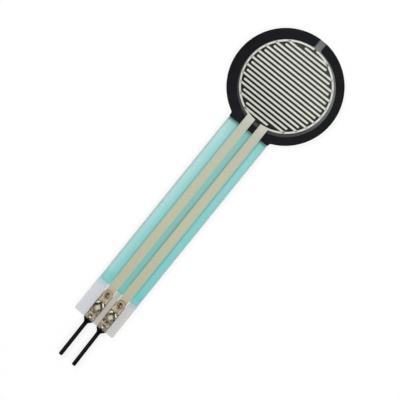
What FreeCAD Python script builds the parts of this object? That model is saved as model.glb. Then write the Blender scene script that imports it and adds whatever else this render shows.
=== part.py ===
import FreeCAD, Part
import math
import os

from FreeCAD import Vector

# Force sensing resistor: a flat laminate of two printed films, with two crimped metal pins.
# Millimetres. The origin is the disc's centre on the underside, +Z points out of the sensing
# side, and the tail runs along -Y.

# Film outline
disc_diameter = 18.28
film_length = 56.34
tail_width = 7.62
tail_shift = -0.19
neck_fillet = 0.5
end_corner_radius = 0.25
stub_inset = 0.28

# Layer thicknesses, from the underside up
liner_thickness = 0.10
rear_adhesive_thickness = 0.05
film_thickness = 0.12
ink_thickness = 0.01
spacer_thickness = 0.15
silver_thickness = 0.01
coat_thickness = 0.02

# Printed silver comb, with its shift from the disc's centre
print_x = 0.09
print_y = 0.12
ring_width = 0.30
ring_split = 0.45
finger_pitch = 0.68
finger_width = 0.36
finger_end_gap = 0.38
first_finger_gap = 0.30
trace_pitch = 2.54
trace_width = 1.44
trace_end_margin = 0.3

# Window and vent of the spacer, with their shift from the disc's centre
spacer_border = 1.52
window_margin = 0.31
window_x = 0.25
window_y = -0.05
vent_width = 1.24
vent_x = 0.23
vent_flare = 0.4

# Insulating coat under the tail, by its distances from the film's edges and the contacts
coat_left_margin = 0.15
coat_right_margin = 0.15
coat_contact_gap = 0.65

# Stamped contacts
sheet_thickness = 0.20
pin_size = 0.64
pin_seam = 0.04
pin_length = 7.1
pin_edge_radius = 0.08
pin_tip_taper = 0.2
pin_tip_inset = 0.1
left_pin_lean = 0.03
right_pin_lean = 0.11
flare_length = 0.8
flare_steps = 4
plate_length = 5.55
claw_length = 2.1
claw_rise = 0.10
claw_tip_gap = 0.2
claw_from_film_end = 2.35
claw_corner_gap = 0.02
lance_width = 0.45
lance_span = 0.7
lance_rise = 0.06
front_lance_inset = 0.5
rear_lance_inset = 0.15
pierced_length = 0.22
slot_clearance = 0.02

# Places worked out from the sizes above
disc_radius = disc_diameter / 2
film_end_y = disc_radius - film_length
stub_end_y = stub_inset - disc_radius
adhesive_z = liner_thickness
resistor_z = adhesive_z + rear_adhesive_thickness
ink_z = resistor_z + film_thickness
spacer_z = ink_z + ink_thickness
silver_z = spacer_z + spacer_thickness
film_z = silver_z + silver_thickness
top_z = film_z + film_thickness
window_radius = disc_radius - spacer_border
ring_radius = window_radius - window_margin
ring_inner_radius = ring_radius - ring_width
ring_line_radius = ring_radius - ring_width / 2
finger_reach = ring_inner_radius - finger_width / 2 - first_finger_gap
finger_count = 2 * int(finger_reach / finger_pitch + 0.5)
trace_end_y = film_end_y + trace_end_margin
fold = pin_size - sheet_thickness
strip_width = 4 * fold - pin_seam
plate_z = silver_z - sheet_thickness
plate_front_y = film_end_y + plate_length
coat_end_y = plate_front_y + coat_contact_gap
claw_y = film_end_y + claw_from_film_end
claw_height = claw_rise + sheet_thickness
lance_height = lance_rise + sheet_thickness
front_lance_y = plate_front_y - front_lance_inset
rear_lance_y = film_end_y + rear_lance_inset
lance_flat_length = lance_span + lance_height


def line(start, end):
    return Part.LineSegment(start, end).toShape()


def round_corner(start, centre, end):
    """Arc about centre, by the short way from start to end."""
    radius = (start - centre).Length
    middle = (start - centre) + (end - centre)
    middle.normalize()
    return Part.Arc(start, centre + middle * radius, end).toShape()


def polygon(points):
    return Part.Face(Part.makePolygon(points + [points[0]]))


def prism(face, bottom, height):
    """Solid of a face drawn at height 0, from bottom up by height."""
    solid = face.extrude(Vector(0, 0, height))
    solid.translate(Vector(0, 0, bottom))
    return solid


def block(x0, x1, y0, y1, z0, z1):
    return Part.makeBox(x1 - x0, y1 - y0, z1 - z0, Vector(x0, y0, z0))


def keyhole(radius, width, shift, end_y, fillet, corner):
    """Face of a disc with a straight tail down to end_y, filleted where the two meet."""
    left = shift - width / 2
    right = shift + width / 2
    sides = []
    for side, direction in ((left, -1), (right, 1)):
        centre_x = side + direction * fillet
        centre_y = -math.sqrt((radius + fillet) ** 2 - centre_x ** 2)
        centre = Vector(centre_x, centre_y, 0)
        on_disc = centre * (radius / (radius + fillet))
        on_tail = Vector(side, centre_y, 0)
        sides.append((on_disc, centre, on_tail))
    (left_disc, left_centre, left_tail), (right_disc, right_centre, right_tail) = sides
    low_left = Vector(left, end_y + corner, 0)
    low_right = Vector(right, end_y + corner, 0)
    end_left = Vector(left + corner, end_y, 0)
    end_right = Vector(right - corner, end_y, 0)
    edges = [
        Part.Arc(right_disc, Vector(0, radius, 0), left_disc).toShape(),
        round_corner(left_disc, left_centre, left_tail),
        line(left_tail, low_left),
        line(end_left, end_right),
        line(low_right, right_tail),
        round_corner(right_tail, right_centre, right_disc),
    ]
    if corner > 0:
        edges.insert(3, round_corner(low_left, Vector(left + corner, end_y + corner, 0), end_left))
        edges.insert(5, round_corner(end_right, Vector(right - corner, end_y + corner, 0), low_right))
    return Part.Face(Part.Wire(edges))


def film_outline():
    return keyhole(disc_radius, tail_width, tail_shift, film_end_y, neck_fillet, end_corner_radius)


def disc_layer(bottom, thickness):
    """Layer of the disc, which ends in a straight line across the root of the tail."""
    layer = prism(film_outline(), bottom, thickness)
    keep = block(-film_length, film_length, stub_end_y, film_length, bottom, bottom + thickness)
    return layer.common(keep).removeSplitter()


def window_and_vent(bottom, height):
    """Space inside the spacer: the round window and the channel out of it, away from the tail."""
    reach = -(disc_diameter + window_y)
    face = keyhole(window_radius, vent_width, window_x - vent_x, reach, vent_flare, 0)
    face.rotate(Vector(0, 0, 0), Vector(0, 0, 1), 180)
    face.translate(Vector(window_x, window_y, 0))
    return prism(face, bottom, height)


def comb_place():
    return Vector(print_x, print_y, silver_z)


def arc_line(side):
    """Half of the thin silver ring, on the given side of the print's centre line."""
    outer = Part.makeCylinder(ring_radius, silver_thickness, comb_place())
    inner = Part.makeCylinder(ring_inner_radius, silver_thickness, comb_place())
    top_inset = side * ring_split / 2
    low_inset = side * (trace_pitch - trace_width) / 2
    far = side * disc_diameter
    upper = sorted((print_x + top_inset, print_x + far)) + [print_y, print_y + disc_diameter]
    lower = sorted((print_x + low_inset, print_x + far)) + [print_y - disc_diameter, print_y]
    half = block(*upper, silver_z, film_z).fuse(block(*lower, silver_z, film_z))
    return outer.cut(inner).common(half)


def finger(index, side):
    """Straight finger that joins the arc on its own side and stops short of the other arc."""
    y = ((finger_count - 1) / 2 - index) * finger_pitch
    free_radius = ring_inner_radius - finger_end_gap
    free_end = print_x - side * math.sqrt(free_radius ** 2 - y ** 2)
    x0, x1 = sorted((free_end, print_x + side * disc_diameter))
    low = print_y + y - finger_width / 2
    bar = block(x0, x1, low, low + finger_width, silver_z, film_z)
    return bar.common(Part.makeCylinder(ring_line_radius, silver_thickness, comb_place()))


def trace(side):
    """Wide straight lead from the arc down the tail."""
    centre = print_x + side * trace_pitch / 2
    half = trace_width / 2
    lead = block(centre - half, centre + half, trace_end_y, print_y, silver_z, film_z)
    return lead.cut(Part.makeCylinder(ring_inner_radius, silver_thickness, comb_place()))


def electrode(side, first):
    """One half of the comb: its arc, every second finger and its lead, pierced by the contact."""
    pieces = [finger(index, side) for index in range(first, finger_count, 2)]
    comb = arc_line(side).fuse(pieces + [trace(side)])
    return comb.cut(contact_slots(side)).removeSplitter()


def contact_x(side):
    return print_x + side * trace_pitch / 2


def hook_places(side):
    """Where the sheet comes up through the film: x, y, heading, span, height, width, tear."""
    x = contact_x(side)
    edge = strip_width / 2
    claw_span = edge - claw_tip_gap / 2
    return [
        (x - edge, claw_y, 0, claw_span, claw_height, claw_length, 0),
        (x + edge, claw_y, 180, claw_span, claw_height, claw_length, 0),
        (x, front_lance_y, -90, lance_span, lance_height, lance_width, pierced_length),
        (x, rear_lance_y, 90, lance_span, lance_height, lance_width, 0),
    ]


def headed(shape, x, y, heading):
    """Turn a shape drawn along +X to its heading and set it in place."""
    shape.rotate(Vector(0, 0, 0), Vector(0, 0, 1), heading)
    shape.translate(Vector(x, y, 0))
    return shape


def hook(x, y, heading, span, height, width):
    """Tongue that rises from the plate through the film, arches over and lands on the film."""
    sheet = sheet_thickness
    outer = Part.Arc(Vector(0, 0, top_z), Vector(span / 2, 0, top_z + height), Vector(span, 0, top_z))
    inner = Part.Arc(
        Vector(span - sheet, 0, top_z),
        Vector(span / 2, 0, top_z + height - sheet),
        Vector(sheet, 0, top_z),
    )
    edges = [
        line(Vector(0, 0, plate_z), Vector(0, 0, top_z)),
        outer.toShape(),
        line(Vector(span, 0, top_z), Vector(span - sheet, 0, top_z)),
        inner.toShape(),
        line(Vector(sheet, 0, top_z), Vector(sheet, 0, plate_z)),
        line(Vector(sheet, 0, plate_z), Vector(0, 0, plate_z)),
    ]
    tongue = Part.Face(Part.Wire(edges)).extrude(Vector(0, width, 0))
    tongue.translate(Vector(0, -width / 2, 0))
    return headed(tongue, x, y, heading)


def contact_slots(side):
    """Slots that the contact's tongues leave in the film and in the silver."""
    slots = []
    for x, y, heading, span, height, width, tear in hook_places(side):
        half = width / 2 + slot_clearance
        start = -slot_clearance - tear
        slot = block(start, sheet_thickness + slot_clearance, -half, half, plate_z, top_z + height)
        slots.append(headed(slot, x, y, heading))
    return slots


def claw_opening(side):
    """Diamond that parts the side tongues into four pointed claws."""
    x = contact_x(side)
    across = strip_width / 2 + claw_corner_gap
    along = claw_length / 2
    corners = [
        Vector(x - across, claw_y, 0),
        Vector(x, claw_y - along, 0),
        Vector(x + across, claw_y, 0),
        Vector(x, claw_y + along, 0),
    ]
    return prism(polygon(corners), silver_z, top_z + claw_height)


def base_plate(side):
    """Flat plate under the film, round at its front end."""
    x = contact_x(side)
    radius = strip_width / 2
    left_shoulder = Vector(x - radius, plate_front_y - radius, 0)
    right_shoulder = Vector(x + radius, plate_front_y - radius, 0)
    edges = [
        Part.Arc(left_shoulder, Vector(x, plate_front_y, 0), right_shoulder).toShape(),
        line(right_shoulder, Vector(x + radius, film_end_y, 0)),
        line(Vector(x + radius, film_end_y, 0), Vector(x - radius, film_end_y, 0)),
        line(Vector(x - radius, film_end_y, 0), left_shoulder),
    ]
    return prism(Part.Face(Part.Wire(edges)), plate_z, sheet_thickness)


def lance_windows(side):
    """Holes in the plate where the two middle tongues were cut out of it."""
    x = contact_x(side)
    half = lance_width / 2 + slot_clearance
    windows = []
    for y, heading in ((front_lance_y, -90), (rear_lance_y, 90)):
        hole = block(
            sheet_thickness,
            sheet_thickness + lance_flat_length,
            -half,
            half,
            plate_z,
            silver_z,
        )
        windows.append(headed(hole, x, y, heading))
    return windows


def strip_section(x, y, z, turn):
    """Section of the strip with both sides folded up: each of its bends turned by turn degrees."""
    angle = math.radians(turn)
    lip = (fold - pin_seam) / 2
    half_sheet = sheet_thickness / 2
    bends = [(fold / 2, 0)]
    bends.append((bends[0][0] + fold * math.cos(angle), fold * math.sin(angle)))
    lip_end = (
        bends[1][0] + lip * math.cos(2 * angle),
        bends[1][1] + lip * math.sin(2 * angle),
    )
    outer = []
    inner = []
    for number, (bend_x, bend_z) in enumerate(bends):
        before = (math.sin(number * angle), -math.cos(number * angle))
        after = (math.sin((number + 1) * angle), -math.cos((number + 1) * angle))
        share = half_sheet / (1 + before[0] * after[0] + before[1] * after[1])
        offset = ((before[0] + after[0]) * share, (before[1] + after[1]) * share)
        outer.append((bend_x + offset[0], bend_z + offset[1]))
        inner.append((bend_x - offset[0], bend_z - offset[1]))
    normal = (math.sin(2 * angle) * half_sheet, -math.cos(2 * angle) * half_sheet)
    outer.append((lip_end[0] + normal[0], lip_end[1] + normal[1]))
    inner.append((lip_end[0] - normal[0], lip_end[1] - normal[1]))
    right = outer + inner[::-1]
    left = [(-px, pz) for px, pz in reversed(right)]
    points = [Vector(x + px, y, z + pz) for px, pz in right + left]
    return Part.makePolygon(points + [points[0]])


def pin_centre(side, lean, distance):
    """Centre line of the folded pin, at a distance past the film's end."""
    return contact_x(side) + lean * distance / pin_length


def flare(side, lean):
    """Funnel in which the flat strip folds up into the square pin."""
    sections = []
    for step in range(flare_steps + 1):
        share = step / flare_steps
        distance = share * flare_length
        turn = 90 * math.sin(share * math.pi / 2)
        flat_z = plate_z + sheet_thickness / 2
        z = flat_z + (sheet_thickness / 2 - flat_z) * share
        x = pin_centre(side, lean, distance)
        sections.append(strip_section(x, film_end_y - distance, z, turn))
    return Part.makeLoft(sections, True, True)


def tip_envelope(side, lean):
    """Square that the pin fills, drawn in at its tip."""
    wires = []
    inset_places = (
        (0, 0),
        (pin_length - pin_tip_taper, 0),
        (pin_length, pin_tip_inset),
    )
    for distance, inset in inset_places:
        x = pin_centre(side, lean, distance)
        y = film_end_y - distance
        half = pin_size / 2 - inset
        corners = [
            Vector(x - half, y, inset),
            Vector(x + half, y, inset),
            Vector(x + half, y, pin_size - inset),
            Vector(x - half, y, pin_size - inset),
        ]
        wires.append(Part.makePolygon(corners + [corners[0]]))
    return Part.makeLoft(wires, True, True)


def folded_pin(side, lean):
    """Square pin folded from the strip, with its seam on top."""
    start_x = pin_centre(side, lean, flare_length)
    start_y = film_end_y - flare_length
    section = strip_section(start_x, start_y, sheet_thickness / 2, 90)
    run = Vector(pin_centre(side, lean, pin_length) - start_x, flare_length - pin_length, 0)
    pin = Part.Face(section).extrude(run)
    corners = []
    for edge in pin.Edges:
        middle = edge.CenterOfMass
        off_centre = abs(abs(middle.x - start_x - run.x / 2) - pin_size / 2)
        off_level = min(abs(middle.z), abs(middle.z - pin_size))
        if edge.Length > pin_size and off_centre < pin_seam / 4 and off_level < pin_seam / 4:
            corners.append(edge)
    return pin.makeFillet(pin_edge_radius, corners).common(tip_envelope(side, lean))


def contact(side, lean):
    """Stamped contact in one piece: plate, four claws, two middle tongues, funnel and pin."""
    side_claws = []
    middle_tongues = []
    for x, y, heading, span, height, width, tear in hook_places(side):
        tongue = hook(x, y, heading, span, height, width)
        if width == claw_length:
            side_claws.append(tongue.cut(claw_opening(side)))
        else:
            middle_tongues.append(tongue)
    plate = base_plate(side).cut(lance_windows(side))
    joined = side_claws + middle_tongues + [flare(side, lean), folded_pin(side, lean)]
    return plate.fuse(joined).removeSplitter()


def electrode_film():
    """Clear top film, with the slots that the contacts pierce."""
    film = prism(film_outline(), film_z, film_thickness)
    return film.cut(contact_slots(-1) + contact_slots(1))


def spacer(electrodes):
    """Adhesive frame between the films, moulded around the leads that cross it."""
    frame = disc_layer(spacer_z, film_z - spacer_z)
    return frame.cut([window_and_vent(spacer_z, film_z - spacer_z)] + electrodes)


def dielectric_coat(electrodes):
    """Coloured coat printed under the tail, over the leads."""
    left = tail_shift - tail_width / 2 + coat_left_margin
    right = tail_shift + tail_width / 2 - coat_right_margin
    coat = block(left, right, coat_end_y, stub_end_y, film_z - coat_thickness, film_z)
    return coat.cut(electrodes)


def export(name, shape):
    """Write one piece as a single clean solid."""
    solids = shape.Solids
    if len(solids) != 1:
        raise ValueError(name + " has " + str(len(solids)) + " solids")
    solids[0].exportStep(os.path.join("parts", name + ".step"))


os.makedirs("parts", exist_ok=True)
electrodes = [electrode(-1, 1), electrode(1, 0)]
export("release_liner", disc_layer(0, liner_thickness))
export("rear_adhesive", disc_layer(adhesive_z, rear_adhesive_thickness))
export("resistor_film", disc_layer(resistor_z, film_thickness))
export("resistive_ink", disc_layer(ink_z, ink_thickness))
export("spacer_adhesive", spacer(electrodes))
export("left_electrode", electrodes[0])
export("right_electrode", electrodes[1])
export("dielectric_coat", dielectric_coat(electrodes))
export("electrode_film", electrode_film())
export("left_contact", contact(-1, left_pin_lean))
export("right_contact", contact(1, right_pin_lean))
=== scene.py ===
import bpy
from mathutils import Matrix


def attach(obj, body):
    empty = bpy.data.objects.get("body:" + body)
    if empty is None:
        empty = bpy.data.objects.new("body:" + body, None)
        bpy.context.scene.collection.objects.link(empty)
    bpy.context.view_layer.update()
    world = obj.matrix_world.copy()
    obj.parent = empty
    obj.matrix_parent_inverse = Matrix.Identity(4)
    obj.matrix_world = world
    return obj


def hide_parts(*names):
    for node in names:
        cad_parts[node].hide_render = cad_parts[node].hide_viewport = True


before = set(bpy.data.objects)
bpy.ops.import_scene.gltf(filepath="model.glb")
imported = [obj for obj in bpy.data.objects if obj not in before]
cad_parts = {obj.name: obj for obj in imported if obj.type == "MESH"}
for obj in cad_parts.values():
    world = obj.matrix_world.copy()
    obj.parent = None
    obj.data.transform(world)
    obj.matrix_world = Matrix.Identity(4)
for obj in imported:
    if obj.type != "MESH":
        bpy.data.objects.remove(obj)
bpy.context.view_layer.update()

import math

import bmesh
import bpy
from mathutils import Euler, Matrix, Vector

# Force sensing resistor: the looks of a flat laminate with two crimped pins.
# X runs across the tail, Y along it and away from the pins, Z up out of the sensing side.
# Lengths are in millimetres, as in the part's source, and mm() turns them into metres.

# Printed silver comb
print_x = 0.09
print_y = 0.12
ring_radius = 7.31
ring_width = 0.30
ring_split = 0.45
finger_count = 20
finger_pitch = 0.68
finger_width = 0.36
finger_end_gap = 0.38
silver_thickness = 0.01
trace_pitch = 2.54
trace_width = 1.44

# Heights of the layers
silver_z = 0.43
film_z = 0.44
top_z = 0.56

# Places on the tail
neck_y = -8.86
tail_middle_y = -24.00
coat_end_y = -41.00
film_end_y = -47.20
tail_middle_x = -0.19
coat_half_width = 3.66

# Crimped contacts
contact_places = (-1.18, 1.36)
plate_width = 1.72
plate_front_y = -41.65
front_lance_y = -42.15
rear_lance_y = -47.05
claw_y = -44.85
diamond_half_width = 0.88
diamond_half_length = 1.05

# Softened edges, and the film's lips round the lances
film_edge = 0.012
glue_edge = 0.008
metal_edge = 0.02
lip_radius = 0.42
lip_thickness = 0.04
lip_sweep_degrees = 200
lip_unevenness = 0.03


def mm(*lengths):
    """One length in metres, or a place from three."""
    scaled = [length / 1000 for length in lengths]
    return scaled[0] if len(scaled) == 1 else Vector(scaled)


def paint(red, green, blue):
    """Linear colour of a swatch given from 0 to 255."""
    linear = []
    for value in (red, green, blue):
        part = value / 255
        linear.append(part / 12.92 if part <= 0.04045 else ((part + 0.055) / 1.055) ** 2.4)
    return (*linear, 1.0)


# Node helpers

FLOAT, COLOUR, VECTOR = "NodeSocketFloat", "NodeSocketColor", "NodeSocketVector"
INTEGER, MATERIAL = "NodeSocketInt", "NodeSocketMaterial"


def connect(tree, socket, value):
    """Links a socket to a node's output, or gives it a plain value."""
    if isinstance(value, bpy.types.NodeSocket):
        tree.links.new(value, socket)
    else:
        socket.default_value = value


def add_node(tree, kind, settings=None, **values):
    """New node; settings are its properties, values are its inputs by name or number."""
    node = tree.nodes.new(kind)
    for name, value in (settings or {}).items():
        setattr(node, name, value)
    for name, value in values.items():
        key = int(name[1:]) if name[0] == "_" else name.replace("_", " ")
        connect(tree, node.inputs[key], value)
    return node


def math_node(tree, operation, first, second=0.0, third=0.0, clamp=False):
    settings = {"operation": operation, "use_clamp": clamp}
    return add_node(tree, "ShaderNodeMath", settings, _0=first, _1=second, _2=third).outputs[0]


def times(tree, first, *others):
    for other in others:
        first = math_node(tree, "MULTIPLY", first, other)
    return first


def minus(tree, first, second):
    return math_node(tree, "SUBTRACT", first, second)


def greatest(tree, first, *others):
    for other in others:
        first = math_node(tree, "MAXIMUM", first, other)
    return first


def split(tree, vector):
    """A vector's X, Y and Z."""
    return add_node(tree, "ShaderNodeSeparateXYZ", None, Vector=vector).outputs


def joined(tree, **parts):
    """Vector from its X, Y and Z, where each is 0 if not given."""
    return add_node(tree, "ShaderNodeCombineXYZ", None, **parts).outputs[0]


def noise(tree, place, scale, detail, roughness=0.5):
    return add_node(tree, "ShaderNodeTexNoise", None, Vector=place, Scale=scale, Detail=detail,
                    Roughness=roughness).outputs[0]


def ramp(tree, value, low, high, start=0.0, end=1.0, smooth=True):
    """Value mapped from low..high to start..end."""
    settings = {"interpolation_type": "SMOOTHSTEP" if smooth else "LINEAR"}
    return add_node(tree, "ShaderNodeMapRange", settings,
                    _0=value, _1=low, _2=high, _3=start, _4=end).outputs[0]


def span(tree, mask, least, most):
    """A mask's 0 to 1 turned into least to most."""
    return ramp(tree, mask, 0.0, 1.0, least, most, False)


def blend(tree, amount, first, second):
    """Colour between first and second by amount."""
    node = add_node(tree, "ShaderNodeMix", {"data_type": "RGBA"}, _0=amount, _6=first, _7=second)
    return node.outputs[2]


def lay(tree, base, colour, mask, depth=None):
    """Base with a colour laid over it by a mask, thinned to a depth where one is given."""
    return blend(tree, mask if depth is None else times(tree, mask, depth), base, colour)


def new_group(name, inputs, outputs):
    group = bpy.data.node_groups.new(name, "ShaderNodeTree")
    for socket_name, kind, value in inputs:
        socket = group.interface.new_socket(socket_name, in_out="INPUT", socket_type=kind)
        if value is not None:
            socket.default_value = value
    for socket_name, kind in outputs:
        group.interface.new_socket(socket_name, in_out="OUTPUT", socket_type=kind)
    given = group.nodes.new("NodeGroupInput").outputs
    put = group.nodes.new("NodeGroupOutput").inputs
    return group, given, put


def use_group(tree, group, **values):
    return add_node(tree, "ShaderNodeGroup", {"node_tree": group}, **values).outputs


# Effects that the finishes share

def make_print_grain():
    """Fine speckle of a screen print: a mask and a height."""
    group, given, put = new_group(
        "print_grain",
        [("Place", VECTOR, None), ("Grain Size mm", FLOAT, 0.12), ("Contrast", FLOAT, 0.5)],
        [("Mask", FLOAT), ("Height", FLOAT)])
    scale = math_node(group, "DIVIDE", 1.0, given["Grain Size mm"])
    fine = noise(group, given["Place"], scale, 3.0, 0.6)
    coarse = noise(group, given["Place"], times(group, scale, 0.22), 2.0)
    both = math_node(group, "MULTIPLY_ADD", coarse, 0.45, times(group, fine, 0.55))
    contrast = times(group, given["Contrast"], 6.0)
    mask = math_node(group, "MULTIPLY_ADD", minus(group, both, 0.5), contrast, 0.5, clamp=True)
    group.links.new(mask, put["Mask"])
    group.links.new(fine, put["Height"])
    return group


def make_colour_drift():
    """Slow drift between two tints, drawn out along the tail."""
    group, given, put = new_group(
        "colour_drift",
        [("Place", VECTOR, None), ("Base", COLOUR, (1, 1, 1, 1)), ("Tint", COLOUR, (1, 1, 1, 1)),
         ("Drift Size mm", FLOAT, 4.0), ("Amount", FLOAT, 0.5)],
        [("Colour", COLOUR)])
    drawn = add_node(group, "ShaderNodeMapping", None, Vector=given["Place"],
                     Scale=(1.0, 0.3, 1.0)).outputs[0]
    scale = math_node(group, "DIVIDE", 1.0, given["Drift Size mm"])
    mask = ramp(group, noise(group, drawn, scale, 2.0), 0.35, 0.65)
    amount = times(group, mask, given["Amount"])
    group.links.new(blend(group, amount, given["Base"], given["Tint"]), put["Colour"])
    return group


def make_line_mask():
    """Soft line across one coordinate: 1 on its centre, 0 past its half width."""
    group, given, put = new_group(
        "line_mask",
        [("Coordinate", FLOAT, 0.0), ("Centre", FLOAT, 0.0), ("Half Width", FLOAT, 0.2),
         ("Softness", FLOAT, 0.2)],
        [("Mask", FLOAT)])
    away = math_node(group, "ABSOLUTE", minus(group, given["Coordinate"], given["Centre"]))
    outer = math_node(group, "ADD", given["Half Width"], given["Softness"])
    group.links.new(ramp(group, away, given["Half Width"], outer, 1.0, 0.0), put["Mask"])
    return group


def make_hairlines():
    """Faint handling scratches and dust on a smooth skin."""
    group, given, put = new_group(
        "hairlines",
        [("Place", VECTOR, None), ("Angle", FLOAT, 0.4), ("Density", FLOAT, 0.5)],
        [("Mask", FLOAT)])
    turn = joined(group, Z=given["Angle"])
    turned = add_node(group, "ShaderNodeMapping", None, Vector=given["Place"], Rotation=turn,
                      Scale=(9.0, 0.35, 1.0)).outputs[0]
    start = minus(group, 0.78, times(group, given["Density"], 0.2))
    scratches = ramp(group, noise(group, turned, 1.4, 3.0, 0.55), start, 0.8)
    dust = add_node(group, "ShaderNodeTexVoronoi", None, Vector=given["Place"], Scale=1.6)
    specks = ramp(group, dust.outputs[0], 0.02, 0.06, 1.0, 0.0)
    group.links.new(greatest(group, scratches, specks), put["Mask"])
    return group


def make_soft_spot():
    """Round or oval mark: 1 inside, fading to 0 at its rim, with an uneven edge."""
    group, given, put = new_group(
        "soft_spot",
        [("Place", VECTOR, None), ("Across", FLOAT, 0.0), ("Along", FLOAT, 0.0),
         ("Centre Across", FLOAT, 0.0), ("Centre Along", FLOAT, 0.0),
         ("Half Across", FLOAT, 0.2), ("Half Along", FLOAT, 0.2), ("Fade", FLOAT, 0.6)],
        [("Mask", FLOAT)])

    def share(direction):
        from_centre = minus(group, given[direction], given["Centre " + direction])
        return math_node(group, "DIVIDE", from_centre, given["Half " + direction])

    x = share("Across")
    y = share("Along")
    away = math_node(group, "SQRT", math_node(group, "MULTIPLY_ADD", x, x, times(group, y, y)))
    uneven = minus(group, noise(group, given["Place"], 3.0, 2.0), 0.5)
    rough = math_node(group, "MULTIPLY_ADD", uneven, 1.1, away)
    begin = minus(group, 1.0, given["Fade"])
    group.links.new(ramp(group, rough, begin, 1.0, 1.0, 0.0), put["Mask"])
    return group


def make_crimp_places():
    """Where a point lies by the nearest contact: across it, over its plate, in its diamond."""
    group, given, put = new_group(
        "crimp_places",
        [("Place", VECTOR, None)],
        [("Across", FLOAT), ("Along", FLOAT), ("Distance", FLOAT), ("Plate", FLOAT),
         ("Plate Rim", FLOAT), ("Diamond", FLOAT), ("Dark Flecks", FLOAT), ("Pale Flecks", FLOAT)])
    xyz = split(group, given["Place"])
    from_middle = minus(group, xyz["X"], print_x)
    side = math_node(group, "SIGN", from_middle)
    across = math_node(group, "MULTIPLY_ADD", side, -trace_pitch / 2, from_middle)
    distance = math_node(group, "ABSOLUTE", across)
    # The plate is straight, with a half-round front
    past_front = minus(group, xyz["Y"], plate_front_y - plate_width / 2)
    past_front = greatest(group, past_front, 0.0)
    squared = math_node(group, "MULTIPLY_ADD", across, across, times(group, past_front, past_front))
    from_rim = minus(group, math_node(group, "SQRT", squared), plate_width / 2)
    near_rim = math_node(group, "ABSOLUTE", from_rim)
    # The four claws leave a diamond open: 0 at its middle, 1 on its edge
    from_claws = math_node(group, "ABSOLUTE", minus(group, xyz["Y"], claw_y))
    lengthwise = math_node(group, "DIVIDE", from_claws, diamond_half_length)
    diamond = math_node(group, "MULTIPLY_ADD", distance, 1 / diamond_half_width, lengthwise)
    # Crumpled, torn spots round the claws
    from_crumpled = math_node(group, "ABSOLUTE", minus(group, xyz["Y"], claw_y + 0.1))
    around = ramp(group, from_crumpled, 1.5, 2.4, 1.0, 0.25)
    share = times(group, around, ramp(group, distance, 0.3, 0.6, 0.35, 1.0))
    torn = noise(group, given["Place"], 1.9, 2.0, 0.6)
    results = {
        "Across": across,
        "Along": xyz["Y"],
        "Distance": distance,
        "Plate": ramp(group, from_rim, -0.03, 0.03, 1.0, 0.0),
        "Plate Rim": ramp(group, near_rim, 0.03, 0.13, 1.0, 0.0),
        "Diamond": diamond,
        "Dark Flecks": times(group, ramp(group, torn, 0.56, 0.68), share),
        "Pale Flecks": times(group, ramp(group, torn, 0.45, 0.34), share),
    }
    for name, result in results.items():
        group.links.new(result, put[name])
    return group


print_grain = make_print_grain()
colour_drift = make_colour_drift()
line_mask = make_line_mask()
hairlines = make_hairlines()
soft_spot = make_soft_spot()
crimp_places = make_crimp_places()


def grained(tree, place, grain_size, contrast):
    return use_group(tree, print_grain, Place=place, Grain_Size_mm=grain_size, Contrast=contrast)


def drifting(tree, place, base, tint, drift_size, amount):
    return use_group(tree, colour_drift, Place=place, Base=base, Tint=tint,
                     Drift_Size_mm=drift_size, Amount=amount)["Colour"]


def line(tree, coordinate, centre, half_width, softness):
    return use_group(tree, line_mask, Coordinate=coordinate, Centre=centre,
                     Half_Width=half_width, Softness=softness)["Mask"]


def scratched(tree, place, angle, density):
    return use_group(tree, hairlines, Place=place, Angle=angle, Density=density)["Mask"]


def crimp_spot(tree, place, crimp, centre, half_size, fade, both_sides=False):
    """Mark on each contact; centre and half size are across and along, in millimetres."""
    return use_group(
        tree, soft_spot, Place=place, Across=crimp["Distance" if both_sides else "Across"],
        Along=crimp["Along"], Centre_Across=centre[0], Centre_Along=centre[1],
        Half_Across=half_size[0], Half_Along=half_size[1], Fade=fade)["Mask"]


def from_print_middle(tree, xyz):
    """Distance in the plane from the middle of the printed comb."""
    flat = joined(tree, X=xyz["X"], Y=xyz["Y"])
    away = add_node(tree, "ShaderNodeVectorMath", {"operation": "DISTANCE"},
                    _0=flat, _1=(print_x, print_y, 0.0))
    return away.outputs["Value"]


# Finishes

def new_material(name):
    """Material with a Principled shader, and the place on the piece in millimetres."""
    material = bpy.data.materials.new(name)
    material.use_nodes = True
    tree = material.node_tree
    tree.nodes.clear()
    shader = add_node(tree, "ShaderNodeBsdfPrincipled")
    add_node(tree, "ShaderNodeOutputMaterial", None, Surface=shader.outputs[0])
    metres = add_node(tree, "ShaderNodeTexCoord").outputs["Object"]
    place = add_node(tree, "ShaderNodeVectorMath", {"operation": "SCALE"},
                     Vector=metres, Scale=1000.0).outputs[0]
    return material, tree, shader, place


def set_sockets(shader, **values):
    for name, value in values.items():
        shader.inputs[name.replace("_", " ")].default_value = value


def give(tree, shader, **values):
    for name, value in values.items():
        tree.links.new(value, shader.inputs[name.replace("_", " ")])


def bump(tree, shader, height, distance):
    node = add_node(tree, "ShaderNodeBump", None, Height=height, Distance=mm(distance),
                    Strength=1.0)
    give(tree, shader, Normal=node.outputs[0])


def make_black_sheet():
    """Black adhesive sheet under the film, with painted shade making it a little darker on its
    left.
    """
    material, tree, shader, place = new_material("black_adhesive_sheet")
    grain = grained(tree, place, 0.2, 0.5)
    base = blend(tree, grain["Mask"], paint(18, 18, 22), paint(27, 28, 32))
    # Painted shade: the sheet darkens towards its left
    left = ramp(tree, split(tree, place)["X"], -9.0, -4.0, 0.45, 0.0)
    base = lay(tree, base, paint(8, 8, 10), left)
    give(tree, shader, Base_Color=base, Roughness=span(tree, grain["Mask"], 0.5, 0.7))
    set_sockets(shader, Specular_IOR_Level=0.04)
    bump(tree, shader, grain["Height"], 0.004)
    return material


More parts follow.
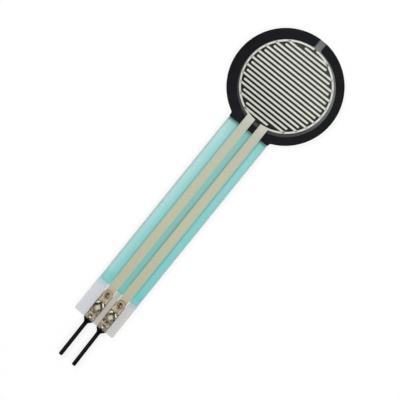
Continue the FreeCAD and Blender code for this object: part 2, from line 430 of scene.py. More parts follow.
def make_carbon():
    """Carbon ink, greyer in the vent and outside the ring, with painted shade: dark between the
    fingers and deeper at the lower left, and the grey outside the ring darker towards the tail.
    """
    material, tree, shader, place = new_material("carbon_ink")
    xyz = split(tree, place)
    grain = grained(tree, place, 0.08, 0.6)
    # Painted shade of the fingers: dark between them, deeper towards the lower left
    shade_slant = math_node(tree, "MULTIPLY_ADD", xyz["X"], 0.4, xyz["Y"])
    shaded_between_fingers = blend(tree, ramp(tree, shade_slant, -7.0, 7.0), paint(18, 18, 12), paint(66, 68, 58))
    # Painted shade: the grey outside the ring darkens towards the tail
    upper = ramp(tree, xyz["Y"], -6.0, 3.0)
    rim = blend(tree, upper, paint(74, 76, 74), paint(136, 141, 140))
    in_vent = ramp(tree, xyz["Y"], 7.4, 8.0)
    rim = lay(tree, rim, paint(121, 126, 126), in_vent)
    away = from_print_middle(tree, xyz)
    outside = ramp(tree, away, ring_radius - 0.16, ring_radius + 0.04)
    base = blend(tree, outside, shaded_between_fingers, rim)
    base = lay(tree, base, paint(20, 20, 18), grain["Mask"], 0.3)
    give(tree, shader, Base_Color=base, Roughness=span(tree, grain["Mask"], 0.5, 0.75))
    set_sockets(shader, Specular_IOR_Level=0.2)
    bump(tree, shader, grain["Height"], 0.006)
    return material


def silver_on_disc(tree, xyz):
    """Near white ink, greyer at the lower left in painted shade, thinning out along the fingers'
    edges.
    """
    # Painted shade: greyer towards the lower left
    shade_slant = math_node(tree, "MULTIPLY_ADD", xyz["X"], 0.5, xyz["Y"])
    white = blend(tree, ramp(tree, shade_slant, -7.0, 1.0), paint(212, 213, 206), paint(228, 230, 225))
    from_finger = minus(tree, xyz["Y"], print_y + finger_pitch / 2)
    from_finger = math_node(tree, "PINGPONG", from_finger, finger_pitch / 2)
    inner_radius = ring_radius - ring_width
    away = from_print_middle(tree, xyz)
    in_ring = ramp(tree, away, inner_radius - 0.11, inner_radius - 0.01, 1.0, 0.0)
    thin_edge = times(tree, ramp(tree, from_finger, 0.11, finger_width / 2), in_ring)
    return lay(tree, white, paint(124, 121, 96), thin_edge, 0.6)


def silver_on_tail(tree, place, xyz, crimp, base):
    """Beige leads, greener at their edges and browner near the crimps."""
    on_tail = ramp(tree, xyz["Y"], -9.0, -6.2, 1.0, 0.0)
    base = lay(tree, base, paint(197, 199, 180), on_tail)
    to_middle = ramp(tree, xyz["Y"], tail_middle_y, -8.0, 1.0, 0.0)
    base = lay(tree, base, paint(196, 200, 174), to_middle)
    to_end = ramp(tree, xyz["Y"], coat_end_y - 0.5, tail_middle_y, 1.0, 0.0)
    base = lay(tree, base, paint(189, 191, 165), to_end)
    amount = span(tree, on_tail, 0.06, 0.4)
    base = drifting(tree, place, base, paint(204, 190, 172), 1.8, amount)
    edge = times(tree, ramp(tree, crimp["Distance"], 0.4, trace_width / 2), on_tail)
    base = lay(tree, base, paint(174, 200, 182), edge, 0.55)
    near_end = ramp(tree, xyz["Y"], coat_end_y - 1.0, coat_end_y + 0.4, 1.0, 0.0)
    return lay(tree, base, paint(186, 171, 142), near_end, 0.8)


def silver_at_crimps(tree, place, xyz, crimp, base):
    """Ink over the contacts, paler over the plate in a painted highlight of the raised print and
    mottled with brown stains, with a dark diamond of painted shade round a pale core.
    """
    right = ramp(tree, xyz["X"], -0.4, 0.4)
    # Painted highlight: the print raised over the plate is paler, mottled with brown stains
    worn = blend(tree, right, paint(236, 223, 204), paint(220, 207, 187))
    lit_and_stained = drifting(tree, place, worn, paint(132, 110, 86), 0.24, 1.0)
    rearward = ramp(tree, xyz["Y"], claw_y + 0.85, front_lance_y - 0.25, 1.0, 0.3)
    base = lay(tree, base, lit_and_stained, times(tree, crimp["Plate"], rearward), 0.8)
    # Painted shade: a brown line along the plate's outline, where the print bends over its edge,
    # and shade under the front lance
    outline_shade = blend(tree, right, paint(146, 112, 94), paint(98, 94, 70))
    strength = ramp(tree, xyz["Y"], coat_end_y - 0.6, coat_end_y - 0.2, 1.0, 0.6)
    base = lay(tree, base, outline_shade, times(tree, crimp["Plate Rim"], strength), 0.65)
    shade = crimp_spot(tree, place, crimp, (0.0, front_lance_y - 0.60), (0.55, 0.62), 0.8)
    base = lay(tree, base, paint(112, 94, 62), shade, 0.8)
    # Painted shade of the claws: a dark band between them and the core, darkest in its side corners
    inward = ramp(tree, crimp["Diamond"], 0.35, 0.62)
    outward = ramp(tree, crimp["Diamond"], 1.0, 1.3, 1.0, 0.0)
    forward = ramp(tree, xyz["Y"], claw_y - 0.6, claw_y + 0.4, 0.3, 1.0)
    base = lay(tree, base, paint(78, 72, 52), times(tree, inward, outward, forward), 0.9)
    corner_shade = crimp_spot(tree, place, crimp, (0.70, claw_y + 0.22), (0.20, 0.22), 0.5, True)
    base = lay(tree, base, paint(52, 46, 32), corner_shade, 0.6)
    core = ramp(tree, crimp["Diamond"], 0.34, 0.6, 1.0, 0.0)
    base = lay(tree, base, paint(220, 215, 196), core)
    # Flecks round the core
    outside = times(tree, crimp["Plate"], minus(tree, 1.0, core))
    base = lay(tree, base, paint(228, 218, 198), times(tree, crimp["Pale Flecks"], 0.7, outside))
    return lay(tree, base, paint(60, 50, 34), times(tree, crimp["Dark Flecks"], 0.8, outside))


def make_silver():
    """Printed silver seen through the film, on the disc, on the tail and at the crimps."""
    material, tree, shader, place = new_material("printed_silver")
    xyz = split(tree, place)
    grain = grained(tree, place, 0.1, 0.55)
    crimp = use_group(tree, crimp_places, Place=place)
    base = silver_on_disc(tree, xyz)
    base = silver_on_tail(tree, place, xyz, crimp, base)
    base = silver_at_crimps(tree, place, xyz, crimp, base)
    base = lay(tree, base, paint(120, 118, 96), grain["Mask"], 0.14)
    give(tree, shader, Base_Color=base, Roughness=span(tree, grain["Mask"], 0.5, 0.7))
    set_sockets(shader, Metallic=0.08, Specular_IOR_Level=0.12)
    bump(tree, shader, grain["Height"], 0.004)
    return material


def make_teal():
    """Teal coat: paler along its left edge, deeper towards the pins, thin at its end, with painted
    shadows of the leads.
    """
    material, tree, shader, place = new_material("teal_coat")
    xyz = split(tree, place)
    grain = grained(tree, place, 0.16, 0.4)
    to_pins = ramp(tree, xyz["Y"], -40.0, -10.0, 1.0, 0.0, False)
    to_right = ramp(tree, xyz["X"], -2.0, 2.5)
    left = blend(tree, to_pins, paint(162, 214, 214), paint(138, 204, 202))
    right = blend(tree, to_pins, paint(154, 211, 210), paint(128, 202, 200))
    middle = blend(tree, to_pins, paint(144, 194, 188), paint(132, 186, 177))
    base = blend(tree, to_right, left, right)
    # Painted shadow of the right lead: the band between the leads is darker
    between_leads = line(tree, xyz["X"], print_x, 1.2, 0.6)
    base = lay(tree, base, middle, between_leads)
    pale_band = ramp(tree, xyz["X"], -3.5, -2.3, 1.0, 0.0)
    pale_band = times(tree, pale_band, span(tree, to_pins, 0.95, 0.55))
    base = lay(tree, base, paint(188, 224, 222), pale_band)
    # Painted shadows of the leads: dark lines left of the left lead and on both sides of the right
    # one
    lead_shadows = [times(tree, line(tree, xyz["X"], x, 0.05, 0.24), depth)
                  for x, depth in ((-2.02, 0.6), (0.50, 0.85), (2.22, 0.6))]
    base = lay(tree, base, paint(112, 156, 142), greatest(tree, *lead_shadows))
    # Grey edges of the coat, fainter on the right
    left_edge, right_edge = tail_middle_x - coat_half_width, tail_middle_x + coat_half_width
    for x, depth in ((left_edge, 0.8), (right_edge, 0.4)):
        base = lay(tree, base, paint(180, 196, 194), line(tree, xyz["X"], x, 0.03, 0.25), depth)
    # Deeper where the ink pooled near its end, and shaded by the black sheet at the neck
    pooled = line(tree, xyz["Y"], coat_end_y + 0.9, 0.2, 1.5)
    base = lay(tree, base, paint(104, 196, 184), pooled, 0.45)
    near_neck = ramp(tree, xyz["Y"], neck_y - 2.94, neck_y, 0.0, 0.16)
    base = lay(tree, base, paint(60, 110, 108), near_neck)
    at_neck = ramp(tree, xyz["Y"], neck_y - 0.75, neck_y + 0.05, 0.0, 0.92)
    base = lay(tree, base, paint(30, 44, 46), at_neck)
    thin_end = blend(tree, to_right, paint(160, 210, 212), paint(170, 212, 217))
    # Painted shadow between the leads at the thin end too
    thin_end = lay(tree, thin_end, paint(148, 190, 176), between_leads)
    base = lay(tree, base, thin_end, ramp(tree, xyz["Y"], coat_end_y, coat_end_y + 0.95, 0.75, 0.0))
    base = drifting(tree, place, base, paint(128, 200, 194), 3.0, 0.2)
    base = lay(tree, base, paint(90, 150, 146), grain["Mask"], 0.07)
    uneven_y = math_node(tree, "MULTIPLY_ADD", grain["Mask"], 0.15, xyz["Y"])
    give(tree, shader, Base_Color=base, Roughness=span(tree, grain["Mask"], 0.5, 0.7),
         Alpha=ramp(tree, uneven_y, coat_end_y, coat_end_y + 0.75, 0.6, 1.0))
    set_sockets(shader, Specular_IOR_Level=0.12)
    bump(tree, shader, grain["Height"], 0.003)
    return material


def make_clear_film():
    """Clear film: clean over the print, hazy and faintly tinted where its end is bare."""
    material, tree, shader, place = new_material("clear_film")
    xyz = split(tree, place)
    crimp = use_group(tree, crimp_places, Place=place)
    bare = ramp(tree, xyz["Y"], coat_end_y - 0.1, coat_end_y + 0.2, 1.0, 0.0)
    # Thin run of the teal ink past the coat's edge
    run = times(tree, bare, ramp(tree, xyz["Y"], coat_end_y - 1.0, coat_end_y - 0.1))
    beside_leads = ramp(tree, crimp["Distance"], trace_width / 2 + 0.02, trace_width / 2 + 0.20)
    between_leads = line(tree, xyz["X"], print_x, 0.5, 0.4)
    strength = span(tree, between_leads, 0.29, 0.38)
    strength = math_node(tree, "MULTIPLY_ADD", run, 0.15, strength)
    haze = times(tree, bare, strength, beside_leads)
    # Clear margins of the tail outside the coat
    from_middle = math_node(tree, "ABSOLUTE", minus(tree, xyz["X"], tail_middle_x))
    margin = ramp(tree, from_middle, coat_half_width - 0.04, coat_half_width + 0.02)
    below_neck = ramp(tree, xyz["Y"], -9.2, -8.8, 1.0, 0.0)
    margin = times(tree, margin, below_neck, minus(tree, 1.0, bare))
    haze = greatest(tree, haze, times(tree, margin, 0.34))
    marks = scratched(tree, place, 0.35, 0.4)
    haze = math_node(tree, "ADD", haze, math_node(tree, "MULTIPLY_ADD", marks, 0.01, 0.003))
    to_right = ramp(tree, xyz["X"], -1.0, 1.0)
    tint = blend(tree, ramp(tree, xyz["X"], -1.5, 1.5), paint(163, 171, 187), paint(144, 144, 141))
    tint = lay(tree, tint, paint(156, 140, 112), between_leads)
    run_tint = blend(tree, to_right, paint(120, 206, 218), paint(106, 188, 196))
    tint = lay(tree, tint, run_tint, run)
    margin_tint = blend(tree, to_right, paint(182, 196, 196), paint(134, 208, 206))
    tint = lay(tree, tint, margin_tint, margin)
    tint = drifting(tree, place, tint, paint(170, 150, 150), 1.2, 0.35)
    give(tree, shader, Base_Color=tint, Alpha=haze)
    set_sockets(shader, Roughness=0.3, Specular_IOR_Level=0.2)
    # Gloss on the outer side, over a very shallow wave
    wave = add_node(tree, "ShaderNodeBump", None, Height=noise(tree, place, 0.22, 0.0),
                    Distance=mm(0.012), Strength=1.0).outputs[0]
    gloss = add_node(tree, "ShaderNodeBsdfGlossy", None, Roughness=0.06, Color=(1, 1, 1, 1),
                     Normal=wave)
    shine = add_node(tree, "ShaderNodeFresnel", None, IOR=1.45).outputs[0]
    behind = add_node(tree, "ShaderNodeNewGeometry").outputs["Backfacing"]
    shine = times(tree, shine, minus(tree, 1.0, behind))
    surface = shader.outputs[0].links[0].to_socket
    mixed = add_node(tree, "ShaderNodeMixShader", None, _0=shine, _1=shader.outputs[0],
                     _2=gloss.outputs[0])
    tree.links.new(mixed.outputs[0], surface)
    return material


def metal_on_film(tree, xyz, grain, base, on_film):
    """Greyed metal of the claws and lances, browner at the front."""
    forward = ramp(tree, xyz["Y"], claw_y - 0.3, claw_y + 0.3)
    greyed = blend(tree, forward, paint(146, 132, 112), paint(122, 112, 92))
    at_lance = ramp(tree, xyz["Y"], front_lance_y - 1.45, front_lance_y - 1.05)
    greyed = lay(tree, greyed, paint(116, 94, 66), at_lance)
    greyed = lay(tree, greyed, paint(84, 74, 58), grain["Mask"], 0.35)
    return lay(tree, base, greyed, on_film, 0.9)


def metal_marks(tree, place, xyz, crimp, base, on_film):
    """Dark inner edges and hollows in painted shade, flecks, and painted glints of the claws and
    lances.
    """

    def mark(across, along, half_across, half_along, fade):
        centre, half_size = (across, along), (half_across, half_along)
        return crimp_spot(tree, place, crimp, centre, half_size, fade)

    # Painted shade on the claws' steep inner edges
    inner_edge_shade = ramp(tree, crimp["Diamond"], 1.02, 1.16, 1.0, 0.0)
    forward = ramp(tree, xyz["Y"], claw_y - 0.8, claw_y - 0.1, 0.35, 1.0)
    near_claws = mark(0.0, claw_y, 1.3, 1.3, 0.1)
    inner_edge_shade = times(tree, inner_edge_shade, forward, near_claws)
    base = lay(tree, base, paint(46, 42, 30), inner_edge_shade, 0.85)
    pale_flecks = times(tree, crimp["Pale Flecks"], 0.7, on_film)
    base = lay(tree, base, paint(216, 206, 184), pale_flecks)
    # Painted shade in the hollows: before the claws, before and on the rear lance, and on the front
    # lance, joined with the dark flecks
    hollow_shade_and_flecks = greatest(
        tree, times(tree, line(tree, xyz["Y"], claw_y + 1.04, 0.03, 0.12), 0.45),
        mark(0.0, rear_lance_y + 0.63, 0.3, 0.13, 0.5),
        mark(0.0, rear_lance_y - 0.07, 0.24, 0.12, 0.5),
        mark(-0.10, front_lance_y - 0.09, 0.24, 0.2, 0.5),
        times(tree, crimp["Dark Flecks"], on_film))
    base = lay(tree, base, paint(38, 32, 22), hollow_shade_and_flecks, 0.9)
    # Glints on the claws' rolled edges, stronger on the right, and on the lances
    glint = times(tree, line(tree, crimp["Diamond"], 1.27, 0.09, 0.11),
                  line(tree, xyz["Y"], claw_y + 0.78, 0.12, 0.16),
                  ramp(tree, crimp["Across"], -0.2, 0.2, 0.8, 1.0))
    bright = greatest(
        tree, glint,
        mark(0.03, rear_lance_y + 0.25, 0.30, 0.17, 0.5),
        times(tree, mark(0.16, front_lance_y - 0.35, 0.12, 0.20, 0.6), 0.5))
    return lay(tree, base, paint(250, 246, 232), times(tree, bright, on_film))


def make_dark_metal():
    """Dark plated metal: near black on the pins, greyed and marked on the film."""
    material, tree, shader, place = new_material("dark_plated_metal")
    xyz = split(tree, place)
    grain = grained(tree, place, 0.06, 0.6)
    crimp = use_group(tree, crimp_places, Place=place)
    base = blend(tree, grain["Mask"], paint(17, 18, 19), paint(28, 29, 30))
    # Painted highlight along each pin's middle, on its seam and rounded top
    seam_highlight = line(tree, crimp["Distance"], 0.0, 0.06, 0.12)
    on_pin = ramp(tree, xyz["Y"], film_end_y - 1.4, film_end_y - 0.6, 1.0, 0.0)
    base = lay(tree, base, paint(62, 62, 62), times(tree, seam_highlight, on_pin), 0.7)
    # Faces that look up: above the film, and under it where the film's slots show the plate
    normal = add_node(tree, "ShaderNodeNewGeometry").outputs["True Normal"]
    up = split(tree, normal)["Z"]
    above = ramp(tree, xyz["Z"], top_z, top_z + 0.05)
    within = ramp(tree, xyz["Y"], film_end_y - 0.1, film_end_y + 0.1)
    on_film = times(tree, above, within, ramp(tree, up, 0.1, 0.7))
    below = ramp(tree, xyz["Z"], top_z - 0.05, top_z, 1.0, 0.0)
    within = ramp(tree, xyz["Y"], film_end_y - 0.03, film_end_y + 0.03)
    under_film = times(tree, below, within, ramp(tree, up, 0.5, 0.9))
    base = metal_on_film(tree, xyz, grain, base, on_film)
    base = lay(tree, base, paint(172, 162, 146), under_film, 0.85)
    base = metal_marks(tree, place, xyz, crimp, base, on_film)
    base = lay(tree, base, paint(120, 120, 118), scratched(tree, place, 0.0, 0.9), 0.2)
    give(tree, shader, Base_Color=base, Roughness=span(tree, grain["Mask"], 0.3, 0.45),
         Metallic=span(tree, greatest(tree, on_film, under_film), 0.85, 0.15))
    set_sockets(shader, Specular_IOR_Level=0.3)
    bump(tree, shader, grain["Height"], 0.006)
    return material


def make_amber_film():
    """Lower film, dark from the carbon print behind it."""
    material, tree, shader, place = new_material("amber_lower_film")
    marks = scratched(tree, place, 1.1, 0.6)
    base = drifting(tree, place, paint(92, 72, 44), paint(70, 56, 38), 5.0, 0.6)
    base = lay(tree, base, paint(150, 136, 110), marks, 0.3)
    give(tree, shader, Base_Color=base, Roughness=span(tree, marks, 0.18, 0.45))
    bump(tree, shader, marks, 0.003)
    return material


def make_glue():
    """Tacky adhesive film under the disc."""
    material, tree, shader, place = new_material("rear_adhesive_film")
    grain = grained(tree, place, 0.4, 0.6)
    base = blend(tree, grain["Mask"], paint(206, 200, 180), paint(222, 218, 204))
    give(tree, shader, Base_Color=base, Roughness=span(tree, grain["Mask"], 0.15, 0.4))
    bump(tree, shader, grain["Height"], 0.006)
    return material


def make_liner():
    """Smooth release paper."""
    material, tree, shader, place = new_material("release_liner_paper")
    fibres = grained(tree, place, 0.35, 0.6)
    base = drifting(tree, place, paint(236, 232, 220), paint(226, 220, 204), 6.0, 0.8)
    base = lay(tree, base, paint(204, 198, 182), fibres["Mask"], 0.3)
    give(tree, shader, Base_Color=base, Roughness=span(tree, fibres["Mask"], 0.35, 0.6))
    bump(tree, shader, fibres["Height"], 0.008)
    return material


def make_pressed_film():
    """Film that turned milky where a lance tore through it."""
    material, tree, shader, place = new_material("pressed_film")
    grain = grained(tree, place, 0.07, 0.7)
    base = blend(tree, grain["Mask"], paint(232, 222, 200), paint(176, 158, 134))
    give(tree, shader, Base_Color=base, Roughness=span(tree, grain["Mask"], 0.2, 0.4),
         Alpha=span(tree, grain["Mask"], 0.85, 0.45))
    bump(tree, shader, grain["Height"], 0.01)
    return material


# Pieces

def shade_by_angle(mesh, degrees):
    """Level faces stay flat, curved walls and softened edges are smooth."""
    mesh.set_sharp_from_angle(angle=math.radians(degrees))
    level = 0.9999
    for face in mesh.polygons:
        face.use_smooth = abs(face.normal.z) < level


def new_piece(name, mesh):
    piece = bpy.data.objects.new(name, mesh)
    bpy.context.scene.collection.objects.link(piece)
    return piece


def bake_modifiers(piece):
    """Turns a piece with its modifiers into a plain mesh."""
    shape = piece.evaluated_get(bpy.context.evaluated_depsgraph_get())
    mesh = bpy.data.meshes.new_from_object(shape)
    piece.modifiers.clear()
    piece.data = mesh
    return mesh


def merged_mesh(node, keep_below_y=None):
    """Mesh of a node with its triangles joined, or only the part of it below a place on Y."""
    same_place = 1e-7
    flat_angle = math.radians(0.6)
    mesh = bpy.data.meshes.new(node + "_merged")
    work = bmesh.new()
    work.from_mesh(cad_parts[node].data)
    bmesh.ops.remove_doubles(work, verts=work.verts, dist=same_place)
    if keep_below_y is not None:
        every = work.verts[:] + work.edges[:] + work.faces[:]
        bmesh.ops.bisect_plane(work, geom=every, plane_co=mm(0, keep_below_y, 0),
                               plane_no=(0, 1, 0), clear_outer=True)
        bmesh.ops.holes_fill(work, edges=[edge for edge in work.edges if edge.is_boundary])
    bmesh.ops.dissolve_limit(work, angle_limit=flat_angle, verts=work.verts, edges=work.edges)
    work.to_mesh(mesh)
    work.free()
    mesh.materials.clear()
    for layer in list(mesh.attributes):
        if layer.name == "custom_normal":
            mesh.attributes.remove(layer)
    return mesh


def lift_underside(mesh, level, lift):
    """Raises the vertices on one level, so that a clear face lies just off the print below it."""
    for vertex in mesh.vertices:
        if abs(vertex.co.z - mm(level)) < 1e-7:
            vertex.co.z += mm(lift)


def merged_copy(node, name, material, soft_edge=0.0):
    """Copy of a node with its triangles joined, its edges softened and a material."""
    mesh = merged_mesh(node)
    if node == "electrode_film":
        lift_underside(mesh, film_z, 0.001)
    mesh.materials.append(material)
    piece = new_piece(name, mesh)
    if soft_edge:
        edge = piece.modifiers.new("soft_edges", "BEVEL")
        edge.width = mm(soft_edge)
        edge.segments = 2
        edge.limit_method = "ANGLE"
        edge.angle_limit = math.radians(35)
        mesh = bake_modifiers(piece)
    shade_by_angle(mesh, 40)
    return piece


def new_tree(name, inputs):
    """Geometry tree with a Geometry input and output and named sizes."""
    tree = bpy.data.node_groups.new(name, "GeometryNodeTree")
    for direction in ("INPUT", "OUTPUT"):
        tree.interface.new_socket("Geometry", in_out=direction, socket_type="NodeSocketGeometry")
    for socket_name, kind, value in inputs:
        socket = tree.interface.new_socket(socket_name, in_out="INPUT", socket_type=kind)
        socket.default_value = value
    given = tree.nodes.new("NodeGroupInput").outputs
    put = tree.nodes.new("NodeGroupOutput").inputs
    return tree, given, put


def set_inputs(modifier, **values):
    """Sets a tree's named inputs by their sockets' identifiers."""
    for item in modifier.node_group.interface.items_tree:
        if item.in_out == "INPUT" and item.name.replace(" ", "_") in values:
            modifier[item.identifier] = values[item.name.replace(" ", "_")]


def add_fingers(tree, given, thin):
    """Row of bars across the ring, each from the ring's line to just short of its far side."""
    start = joined(tree, Y=given["First Finger Y"])
    step = joined(tree, Y=times(tree, given["Finger Step"], -1.0))
    row = add_node(tree, "GeometryNodeMeshLine", None, Count=given["Finger Count"],
                   Start_Location=start, Offset=step).outputs[0]
    here = add_node(tree, "GeometryNodeInputPosition").outputs[0]
    y = split(tree, here)["Y"]
    y_squared = times(tree, y, y)

    def reach(radius):
        squared = minus(tree, times(tree, radius, radius), y_squared)
        return math_node(tree, "SQRT", squared)

    free_end = reach(given["Free End Radius"])
    joined_end = reach(given["Ring Radius"])
    length = math_node(tree, "ADD", free_end, joined_end)
    middle = times(tree, minus(tree, joined_end, free_end), 0.5, given["Side"])
    size = joined(tree, X=length, Y=given["Finger Width"], Z=thin)
    vector = {"data_type": "FLOAT_VECTOR"}
    sized = add_node(tree, "GeometryNodeStoreNamedAttribute", {**vector, "domain": "POINT"},
                     Geometry=row, Name="bar_size", Value=size).outputs[0]
    placed = add_node(tree, "GeometryNodeSetPosition", None, Geometry=sized,
                      Offset=joined(tree, X=middle)).outputs[0]
    bar = add_node(tree, "GeometryNodeMeshCube", None, Size=(1.0, 1.0, 1.0)).outputs[0]
    bar_size = add_node(tree, "GeometryNodeInputNamedAttribute", vector, Name="bar_size").outputs[0]
    return add_node(tree, "GeometryNodeInstanceOnPoints", None, Points=placed, Instance=bar,
                    Scale=bar_size).outputs[0]


def add_ring_arc(tree, given, thin):
    """Half of the split ring, from its split at the top round to its lead."""
    half_split = times(tree, given["Ring Split"], 0.5)
    split_angle = math_node(tree, "DIVIDE", half_split, given["Ring Radius"])
    lead_angle = math_node(tree, "DIVIDE", given["Lead Offset"], given["Ring Radius"])
    gap = math_node(tree, "ADD", split_angle, lead_angle)
    sweep = times(tree, given["Side"], minus(tree, gap, math.pi))
    begin = minus(tree, math.pi / 2, times(tree, given["Side"], split_angle))
    arc = add_node(tree, "GeometryNodeCurveArc", None, Resolution=96,
                   Radius=given["Ring Radius"], Start_Angle=begin, Sweep_Angle=sweep)
    section = add_node(tree, "GeometryNodeCurvePrimitiveQuadrilateral", None,
                       Width=given["Ring Width"], Height=thin)
    return add_node(tree, "GeometryNodeCurveToMesh", None, Curve=arc.outputs[0],
                    Profile_Curve=section.outputs[0], Fill_Caps=True).outputs[0]


def make_comb_tree():
    """Half of the printed comb: an arc of the ring and every second finger, with its lead."""
    tree, given, put = new_tree("printed_comb", [
        ("Side", FLOAT, 1.0), ("Finger Count", INTEGER, 10), ("First Finger Y", FLOAT, 0.006),
        ("Finger Step", FLOAT, 0.00136), ("Finger Width", FLOAT, 0.00036),
        ("Free End Radius", FLOAT, 0.0066), ("Ring Radius", FLOAT, 0.0072),
        ("Ring Width", FLOAT, 0.0003), ("Ring Split", FLOAT, 0.00045),
        ("Lead Offset", FLOAT, 0.0006), ("Thickness", FLOAT, 0.00001),
        ("Centre", VECTOR, (0, 0, 0)), ("Ink", MATERIAL, None)])
    thin = times(tree, given["Thickness"], 0.9)
    fingers = add_fingers(tree, given, thin)
    ring = add_ring_arc(tree, given, thin)
    both = add_node(tree, "GeometryNodeJoinGeometry")
    tree.links.new(ring, both.inputs[0])
    tree.links.new(fingers, both.inputs[0])
    moved = add_node(tree, "GeometryNodeTransform", None, Geometry=both.outputs[0],
                     Translation=given["Centre"])
    whole = add_node(tree, "GeometryNodeJoinGeometry")
    tree.links.new(moved.outputs[0], whole.inputs[0])
    tree.links.new(given["Geometry"], whole.inputs[0])
    real = add_node(tree, "GeometryNodeRealizeInstances", None, Geometry=whole.outputs[0])
    inked = add_node(tree, "GeometryNodeSetMaterial", None, Geometry=real.outputs[0],
                     Material=given["Ink"])
    tree.links.new(inked.outputs[0], put["Geometry"])
    return tree


def make_comb(node, name, side):
    """Printed comb half: the lead of the node, with its slots, and the arc and fingers by rule."""
    ring_line = ring_radius - ring_width / 2
    lead_top = print_y + 0.25 - ring_line
    piece = new_piece(name, merged_mesh(node, lead_top))
    comb = piece.modifiers.new("comb", "NODES")
    comb.node_group = comb_tree
    first = 0 if side > 0 else 1
    set_inputs(
        comb,
        Side=float(side),
        Finger_Count=finger_count // 2,
        First_Finger_Y=mm(((finger_count - 1) / 2 - first) * finger_pitch),
        Finger_Step=mm(2 * finger_pitch),
        Finger_Width=mm(finger_width),
        Free_End_Radius=mm(ring_radius - ring_width - finger_end_gap),
        Ring_Radius=mm(ring_line),
        Ring_Width=mm(ring_width),
        Ring_Split=mm(ring_split),
        Lead_Offset=mm((trace_pitch - trace_width) / 2),
        Thickness=mm(silver_thickness),
        Centre=mm(print_x, print_y, silver_z + silver_thickness / 2),
        Ink=silver)
    shade_by_angle(bake_modifiers(piece), 40)
    return piece


def make_lip_tree():
    """Low ridges of pressed-up film, one round the root of each lance."""
    tree, given, put = new_tree("lance_lips", [
        ("Lip Radius", FLOAT, 0.0003), ("Lip Thickness", FLOAT, 0.00004), ("Sweep", FLOAT, 2.6),
        ("Unevenness", FLOAT, 0.00002), ("Film", MATERIAL, None)])
    begin = minus(tree, math.pi / 2, times(tree, given["Sweep"], 0.5))
    arc = add_node(tree, "GeometryNodeCurveArc", None, Resolution=20, Radius=given["Lip Radius"],
                   Start_Angle=begin, Sweep_Angle=given["Sweep"])
    # Highest in the middle of its sweep
    along = add_node(tree, "GeometryNodeSplineParameter").outputs["Factor"]
    rise = math_node(tree, "SINE", times(tree, along, math.pi))
    rise = math_node(tree, "MULTIPLY_ADD", rise, 0.75, 0.25)
    section = add_node(tree, "GeometryNodeCurvePrimitiveCircle", None, Resolution=8,
                       Radius=given["Lip Thickness"])
    lip = add_node(tree, "GeometryNodeCurveToMesh", None, Curve=arc.outputs[0],
                   Profile_Curve=section.outputs[0], Scale=rise, Fill_Caps=True)
    lips = add_node(tree, "GeometryNodeInstanceOnPoints", None, Points=given["Geometry"],
                    Instance=lip.outputs[0])
    real = add_node(tree, "GeometryNodeRealizeInstances", None, Geometry=lips.outputs[0])
    here = add_node(tree, "GeometryNodeInputPosition").outputs[0]
    uneven = add_node(tree, "ShaderNodeTexNoise", None, Vector=here, Scale=5000.0, Detail=1.0)
    centred = add_node(tree, "ShaderNodeVectorMath", {"operation": "SUBTRACT"},
                       _0=uneven.outputs["Color"], _1=(0.5, 0.5, 0.5))
    shift = add_node(tree, "ShaderNodeVectorMath", {"operation": "SCALE"},
                     Vector=centred.outputs[0], Scale=given["Unevenness"])
    worn = add_node(tree, "GeometryNodeSetPosition", None, Geometry=real.outputs[0],
                    Offset=shift.outputs[0])
    filmed = add_node(tree, "GeometryNodeSetMaterial", None, Geometry=worn.outputs[0],
                      Material=given["Film"])
    tree.links.new(filmed.outputs[0], put["Geometry"])
    return tree


def make_lance_lips():
    roots = [mm(x, y, top_z) for x in contact_places
             for y in (front_lance_y - 0.08, rear_lance_y + 0.62)]
    mesh = bpy.data.meshes.new("lance_roots")
    mesh.from_pydata(roots, [], [])
    piece = new_piece("lance_lips", mesh)
    lips = piece.modifiers.new("lips", "NODES")
    lips.node_group = make_lip_tree()
    set_inputs(
        lips,
        Lip_Radius=mm(lip_radius),
        Lip_Thickness=mm(lip_thickness),
        Sweep=math.radians(lip_sweep_degrees),
        Unevenness=mm(lip_unevenness),
        Film=make_pressed_film())
    shade_by_angle(bake_modifiers(piece), 60)
    return piece


def dress(piece, slot, *nodes):
    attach(piece, "root")
    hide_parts(*nodes)


silver = make_silver()
comb_tree = make_comb_tree()
dark_metal = make_dark_metal()

for node, name, material, slot, soft_edge in (
        ("release_liner", "backing_liner", make_liner(), "liner_paper", film_edge),
        ("rear_adhesive", "backing_glue", make_glue(), "clear_adhesive", glue_edge),
        ("resistor_film", "lower_film", make_amber_film(), "amber_film", film_edge),
        ("resistive_ink", "carbon_disc", make_carbon(), "carbon_ink", 0.0),
        ("spacer_adhesive", "black_spacer_sheet", make_black_sheet(), "black_spacer", film_edge),
        ("dielectric_coat", "teal_tail_coat", make_teal(), "teal_coat", 0.0),
        ("electrode_film", "clear_top_film", make_clear_film(), "clear_film", film_edge)):
    dress(merged_copy(node, name, material, soft_edge), slot, node)

dress(make_comb("left_electrode", "left_silver_comb", -1), "silver_print", "left_electrode")
dress(make_comb("right_electrode", "right_silver_comb", 1), "silver_print", "right_electrode")

lips = make_lance_lips()
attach(lips, "root")

for node, name in (("left_contact", "left_crimped_pin"), ("right_contact", "right_crimped_pin")):
    dress(merged_copy(node, name, dark_metal, metal_edge), "dark_metal", node)


# Camera, floor and light

def add_camera():
    """Camera straight above, turned so that the tail runs to the lower left."""
    data = bpy.data.cameras.new("camera")
    data.sensor_width = 36.0
    data.lens = 135.0
    data.clip_start = 0.01
    data.clip_end = 10.0
    camera = bpy.data.objects.new("camera", data)
    place = mm(10.978, -15.989, 232.593)
    turn = Euler((math.radians(0.455), math.radians(2.887), math.radians(38.941)))
    camera.matrix_world = Matrix.Translation(place) @ turn.to_matrix().to_4x4()
    bpy.context.scene.collection.objects.link(camera)
    bpy.context.scene.camera = camera


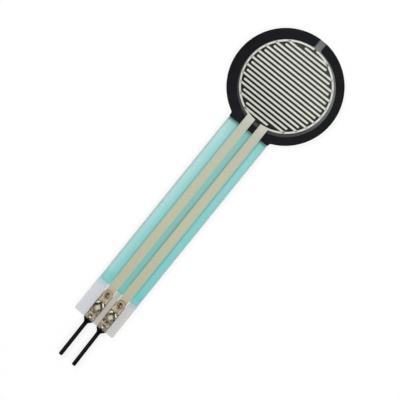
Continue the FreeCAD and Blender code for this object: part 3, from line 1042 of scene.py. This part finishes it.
def add_floor():
    """White floor just under the part: bright to the camera and in gloss, plain to the rest."""
    material = bpy.data.materials.new("pale_floor")
    material.use_nodes = True
    tree = material.node_tree
    tree.nodes.clear()
    paper = add_node(tree, "ShaderNodeBsdfDiffuse", None, Color=(0.93, 0.93, 0.93, 1.0))
    glow = add_node(tree, "ShaderNodeEmission", None, Color=(1.0, 1.0, 1.0, 1.0), Strength=1.0)
    path = add_node(tree, "ShaderNodeLightPath").outputs
    mirrored = greatest(tree, path["Is Glossy Ray"], path["Is Transmission Ray"])
    seen = greatest(tree, path["Is Camera Ray"], mirrored)
    mixed = add_node(tree, "ShaderNodeMixShader", None, _0=times(tree, seen, 0.8),
                     _1=paper.outputs[0], _2=glow.outputs[0])
    add_node(tree, "ShaderNodeOutputMaterial", None, Surface=mixed.outputs[0])
    mesh = bpy.data.meshes.new("floor")
    reach = mm(1500)
    corners = [(-reach, -reach, 0), (reach, -reach, 0), (reach, reach, 0), (-reach, reach, 0)]
    mesh.from_pydata(corners, [], [(0, 1, 2, 3)])
    mesh.materials.append(material)
    floor = bpy.data.objects.new("floor", mesh)
    bpy.context.scene.collection.objects.link(floor)
    floor.location.z = mm(-0.01)


def add_lamp(name, place, size, power):
    """Round lamp that points at the middle of the part."""
    data = bpy.data.lights.new(name, "AREA")
    data.shape = "DISK"
    data.size = mm(size)
    data.energy = power
    lamp = bpy.data.objects.new(name, data)
    lamp.location = mm(*place)
    part_middle = mm(0, -22, 0)
    lamp.rotation_euler = (part_middle - lamp.location).to_track_quat("-Z", "Y").to_euler()
    bpy.context.scene.collection.objects.link(lamp)


def add_world():
    """White studio: light from the sides, dimmer overhead, plain white behind the part."""
    white = (1.0, 1.0, 1.0, 1.0)
    world = bpy.data.worlds.new("studio")
    world.use_nodes = True
    tree = world.node_tree
    tree.nodes.clear()
    direction = add_node(tree, "ShaderNodeTexCoord").outputs["Generated"]
    level = ramp(tree, split(tree, direction)["Z"], 0.6, 0.95, 0.6, 0.05)
    light = add_node(tree, "ShaderNodeBackground", None, Color=white, Strength=level)
    backdrop = add_node(tree, "ShaderNodeBackground", None, Color=white, Strength=1.0)
    path = add_node(tree, "ShaderNodeLightPath").outputs
    mixed = add_node(tree, "ShaderNodeMixShader", None, _0=path["Is Camera Ray"],
                     _1=light.outputs[0], _2=backdrop.outputs[0])
    add_node(tree, "ShaderNodeOutputWorld", None, Surface=mixed.outputs[0])
    bpy.context.scene.world = world


add_camera()
add_floor()
add_world()
add_lamp("left_lamp", (-260, 100, 260), 240, 0.86)
add_lamp("right_lamp", (270, -100, 260), 240, 0.79)

bpy.context.scene.view_settings.view_transform = "Standard"
